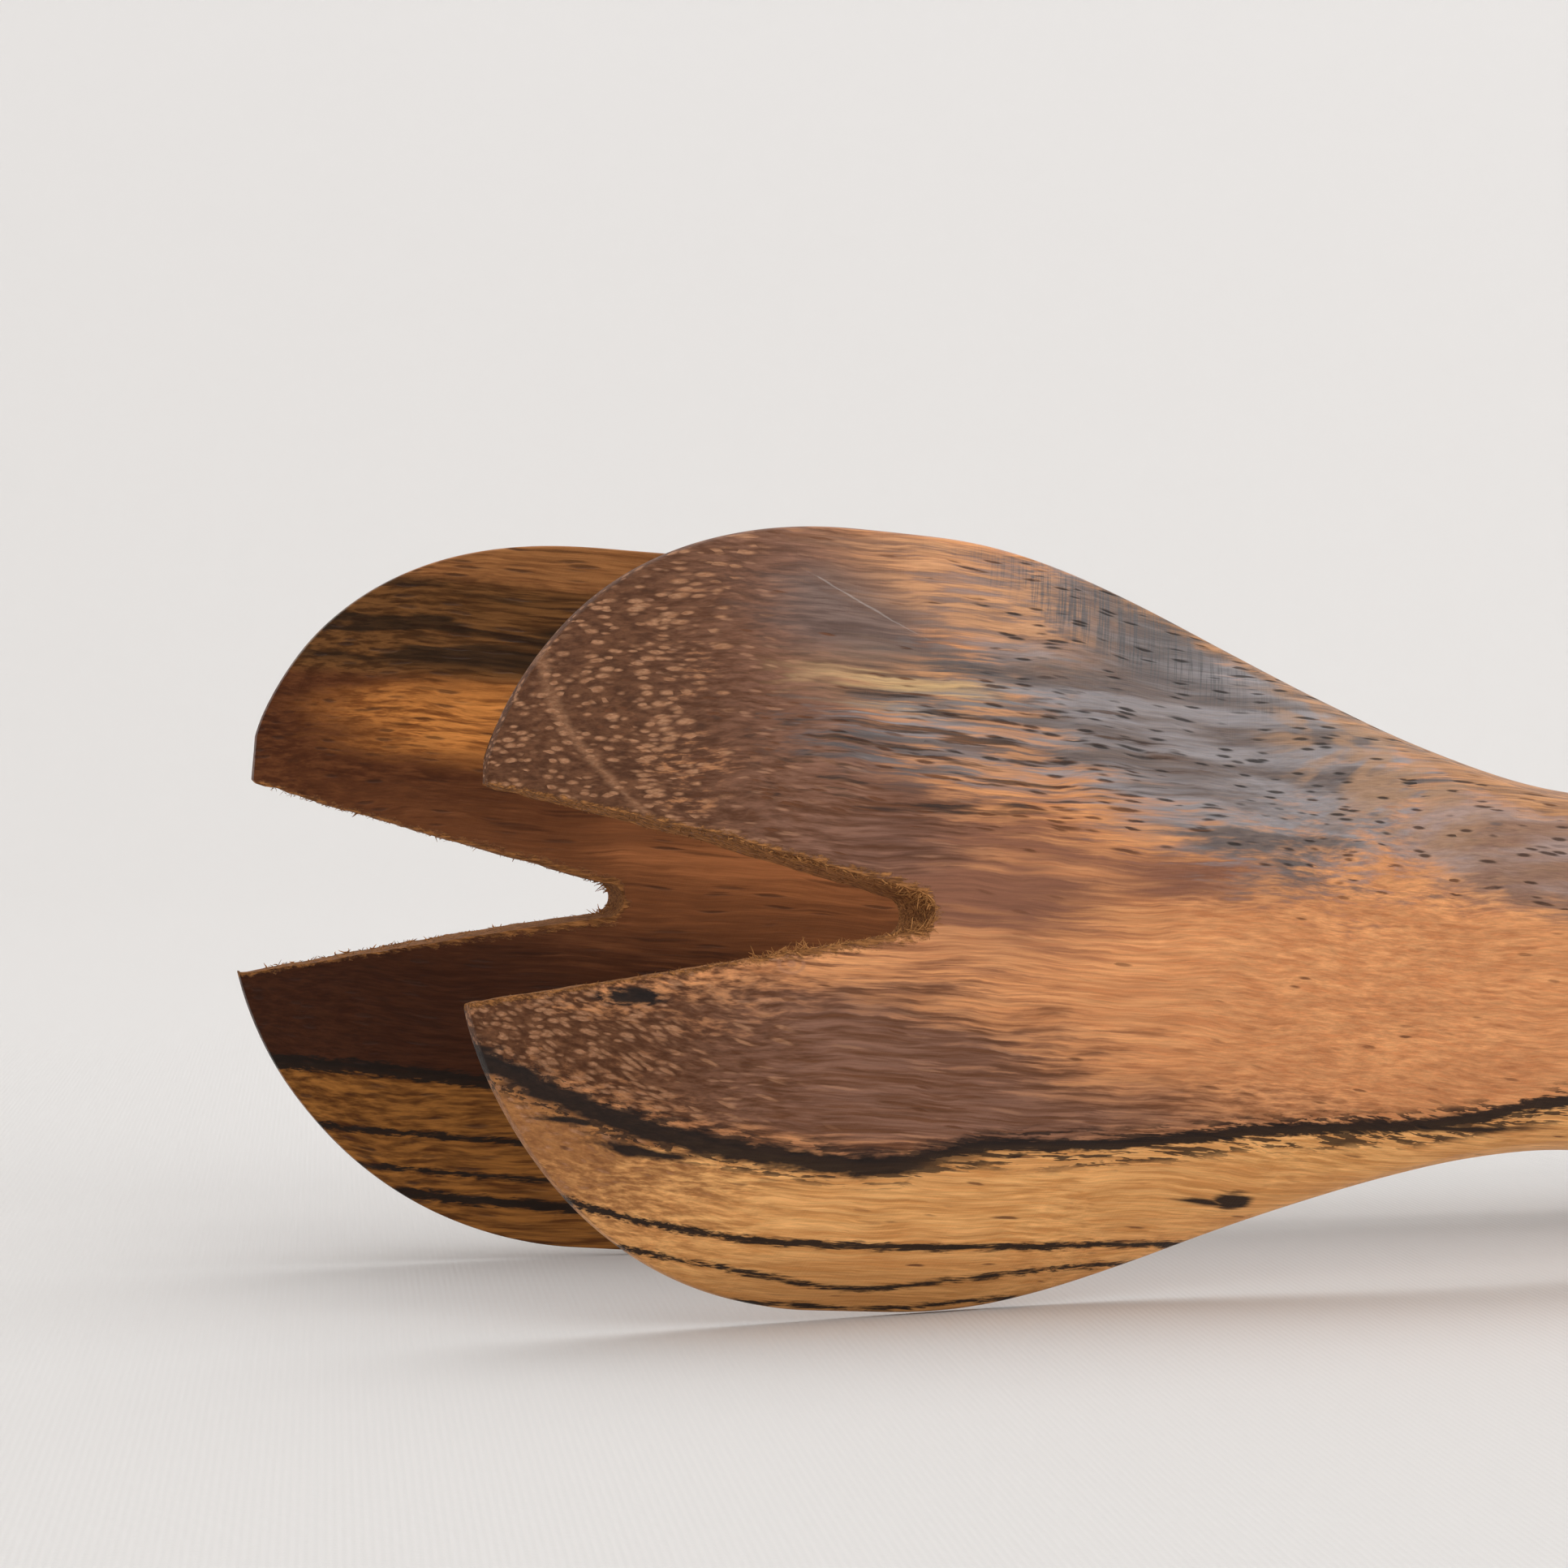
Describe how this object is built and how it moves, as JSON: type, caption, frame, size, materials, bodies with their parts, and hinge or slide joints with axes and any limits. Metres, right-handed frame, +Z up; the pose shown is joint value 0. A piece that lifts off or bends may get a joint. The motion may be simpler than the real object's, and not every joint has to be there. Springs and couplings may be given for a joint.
{
  "type": "spring loaded kitchen tongs",
  "caption": "Hardwood kitchen tongs with scooped, notched blades on mirrored arms, a glued block hinge on a cross pin, and a coil spring that opens them",
  "frame": {"origin": "on the table under the middle of the tongs at rest, at the bottom centre of their bounding box", "axes": "+X runs from the tips towards the hinge, +Y from the front arm to the rear arm, which is the way the blades open, +Z up"},
  "size_m": [0.2968, 0.0727, 0.064],
  "materials": {
    "arm_wood": "oiled figured hardwood, satin",
    "block_wood": "oiled dark hardwood, satin",
    "dowel_wood": "plain hardwood dowel, glued in",
    "plug_wood": "end grain plug, sanded flush",
    "steel": "stainless, satin",
    "spring_steel": "drawn stainless spring wire",
    "brass": "turned brass, plain"
  },
  "bodies": {
    "rear_half": {"rear_arm": "arm_wood", "rear_hinge_block": "block_wood", "rear_dowel_upper": "dowel_wood", "rear_dowel_lower": "dowel_wood", "hinge_bush": "brass", "rear_spring_cup": "steel", "coil_spring": "spring_steel"},
    "front_half": {"front_arm": "arm_wood", "front_hinge_block": "block_wood", "front_dowel_upper": "dowel_wood", "front_dowel_lower": "dowel_wood", "hinge_pin": "steel", "upper_washer": "brass", "lower_washer": "brass", "upper_pin_plug": "plug_wood", "lower_pin_plug": "plug_wood", "front_spring_cup": "steel"}
  },
  "joints": [
    {"name": "hinge", "type": "hinge", "parent": "rear_half", "child": "front_half", "pos_m": [0.12502, 0, 0.01412], "axis": [0.0755, 0, 0.9971], "range_deg": [-12.15, 0], "stiffness_Nm_per_rad": 1.84, "springref_deg": 10.94, "deforming": ["coil_spring"]}
  ]
}
